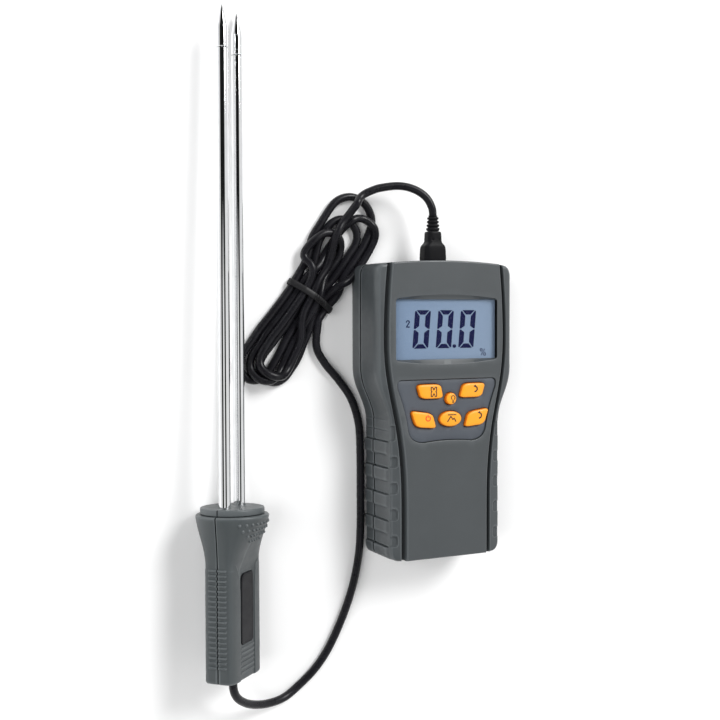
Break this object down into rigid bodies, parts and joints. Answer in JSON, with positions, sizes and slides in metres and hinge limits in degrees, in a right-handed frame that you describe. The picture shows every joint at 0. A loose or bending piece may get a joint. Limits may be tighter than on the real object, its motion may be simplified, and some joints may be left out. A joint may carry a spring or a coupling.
{
  "type": "grain moisture meter",
  "caption": "Hand-held grain moisture meter with display and orange keys, a two-rod measuring probe on a handle, and a tied cord between them.",
  "frame": {"origin": "centre of the meter's flat back face, on the surface the meter lies on", "axes": "+X to the meter's right, +Y along the meter towards the cord socket and along the probe towards its tips, +Z out of the display"},
  "size_m": [0.1828, 0.3745, 0.0393],
  "materials": {
    "case_plastic": "fine textured grey ABS",
    "panel_plastic": "satin",
    "orange_rubber": "smooth silicone",
    "silicone": "matte",
    "clear_lens": "clear polished",
    "display_glass": "smooth",
    "white_plastic": "satin",
    "black_plastic": "satin",
    "black_rubber": "satin PVC",
    "label_film": "fine textured film",
    "board": "solder mask",
    "battery_wrap": "gloss",
    "polished_steel": "polished",
    "plated_steel": "nickel plated",
    "brass": "satin"
  },
  "bodies": {
    "case": {"front_case": "case_plastic", "rear_case": "case_plastic", "keypad_panel": "panel_plastic", "button_mat": "silicone", "display_holder": "white_plastic", "display_backlight": "white_plastic", "display_glass": "display_glass", "display_window": "clear_lens", "main_board": "board", "controller_chip": "black_plastic", "display_connector": "white_plastic", "cord_socket": "black_plastic", "battery_1": "battery_wrap", "battery_2": "battery_wrap", "battery_3": "battery_wrap", "battery_4": "battery_wrap", "battery_contacts_low": "plated_steel", "battery_contacts_high": "plated_steel", "case_screw_1": "plated_steel", "case_screw_2": "plated_steel", "case_screw_3": "plated_steel", "case_screw_4": "plated_steel", "cord_probe_lead": "black_rubber", "cord_plug_lead": "black_rubber", "cord_tie": "black_plastic", "cord_hank": "black_rubber"},
    "door": {"battery_door": "case_plastic"},
    "key_hold": {"button_hold": "orange_rubber"},
    "key_up": {"button_up": "orange_rubber"},
    "key_light": {"button_light": "orange_rubber"},
    "key_power": {"button_power": "orange_rubber"},
    "key_peak": {"button_peak": "orange_rubber"},
    "key_down": {"button_down": "orange_rubber"},
    "plug": {"plug_body": "black_rubber", "plug_nose": "plated_steel", "plug_strain_relief": "black_rubber"},
    "probe": {"handle_front": "case_plastic", "handle_rear": "case_plastic", "handle_cap": "case_plastic", "handle_label": "label_film", "handle_screw_1": "plated_steel", "handle_screw_2": "plated_steel", "rod_near": "polished_steel", "rod_far": "polished_steel", "tip_near": "polished_steel", "tip_far": "polished_steel", "rod_block": "white_plastic", "probe_board": "board", "terminal_near": "brass", "terminal_far": "brass", "cord_grommet": "black_rubber"}
  },
  "joints": [
    {"name": "battery_door_slide", "type": "slide", "parent": "case", "child": "door", "axis": [0, -1, 0], "range_m": [0, 0.055]},
    {"name": "press_hold", "type": "slide", "parent": "case", "child": "key_hold", "axis": [0, 0, -1], "range_m": [0, 0.0012], "stiffness_N_per_m": 400, "springref_m": -0.0005},
    {"name": "press_up", "type": "slide", "parent": "case", "child": "key_up", "axis": [0, 0, -1], "range_m": [0, 0.0012], "stiffness_N_per_m": 400, "springref_m": -0.0005},
    {"name": "press_light", "type": "slide", "parent": "case", "child": "key_light", "axis": [0, 0, -1], "range_m": [0, 0.0012], "stiffness_N_per_m": 400, "springref_m": -0.0005},
    {"name": "press_power", "type": "slide", "parent": "case", "child": "key_power", "axis": [0, 0, -1], "range_m": [0, 0.0012], "stiffness_N_per_m": 400, "springref_m": -0.0005},
    {"name": "press_peak", "type": "slide", "parent": "case", "child": "key_peak", "axis": [0, 0, -1], "range_m": [0, 0.0012], "stiffness_N_per_m": 400, "springref_m": -0.0005},
    {"name": "press_down", "type": "slide", "parent": "case", "child": "key_down", "axis": [0, 0, -1], "range_m": [0, 0.0012], "stiffness_N_per_m": 400, "springref_m": -0.0005},
    {"name": "plug_pull", "type": "slide", "parent": "case", "child": "plug", "axis": [0, 1, 0], "range_m": [0, 0.012], "deforming": ["cord_plug_lead"]},
    {"name": "probe_lift", "type": "slide", "parent": "case", "child": "probe", "axis": [0, 0, 1], "range_m": [0, 0.04], "deforming": ["cord_probe_lead"]}
  ]
}
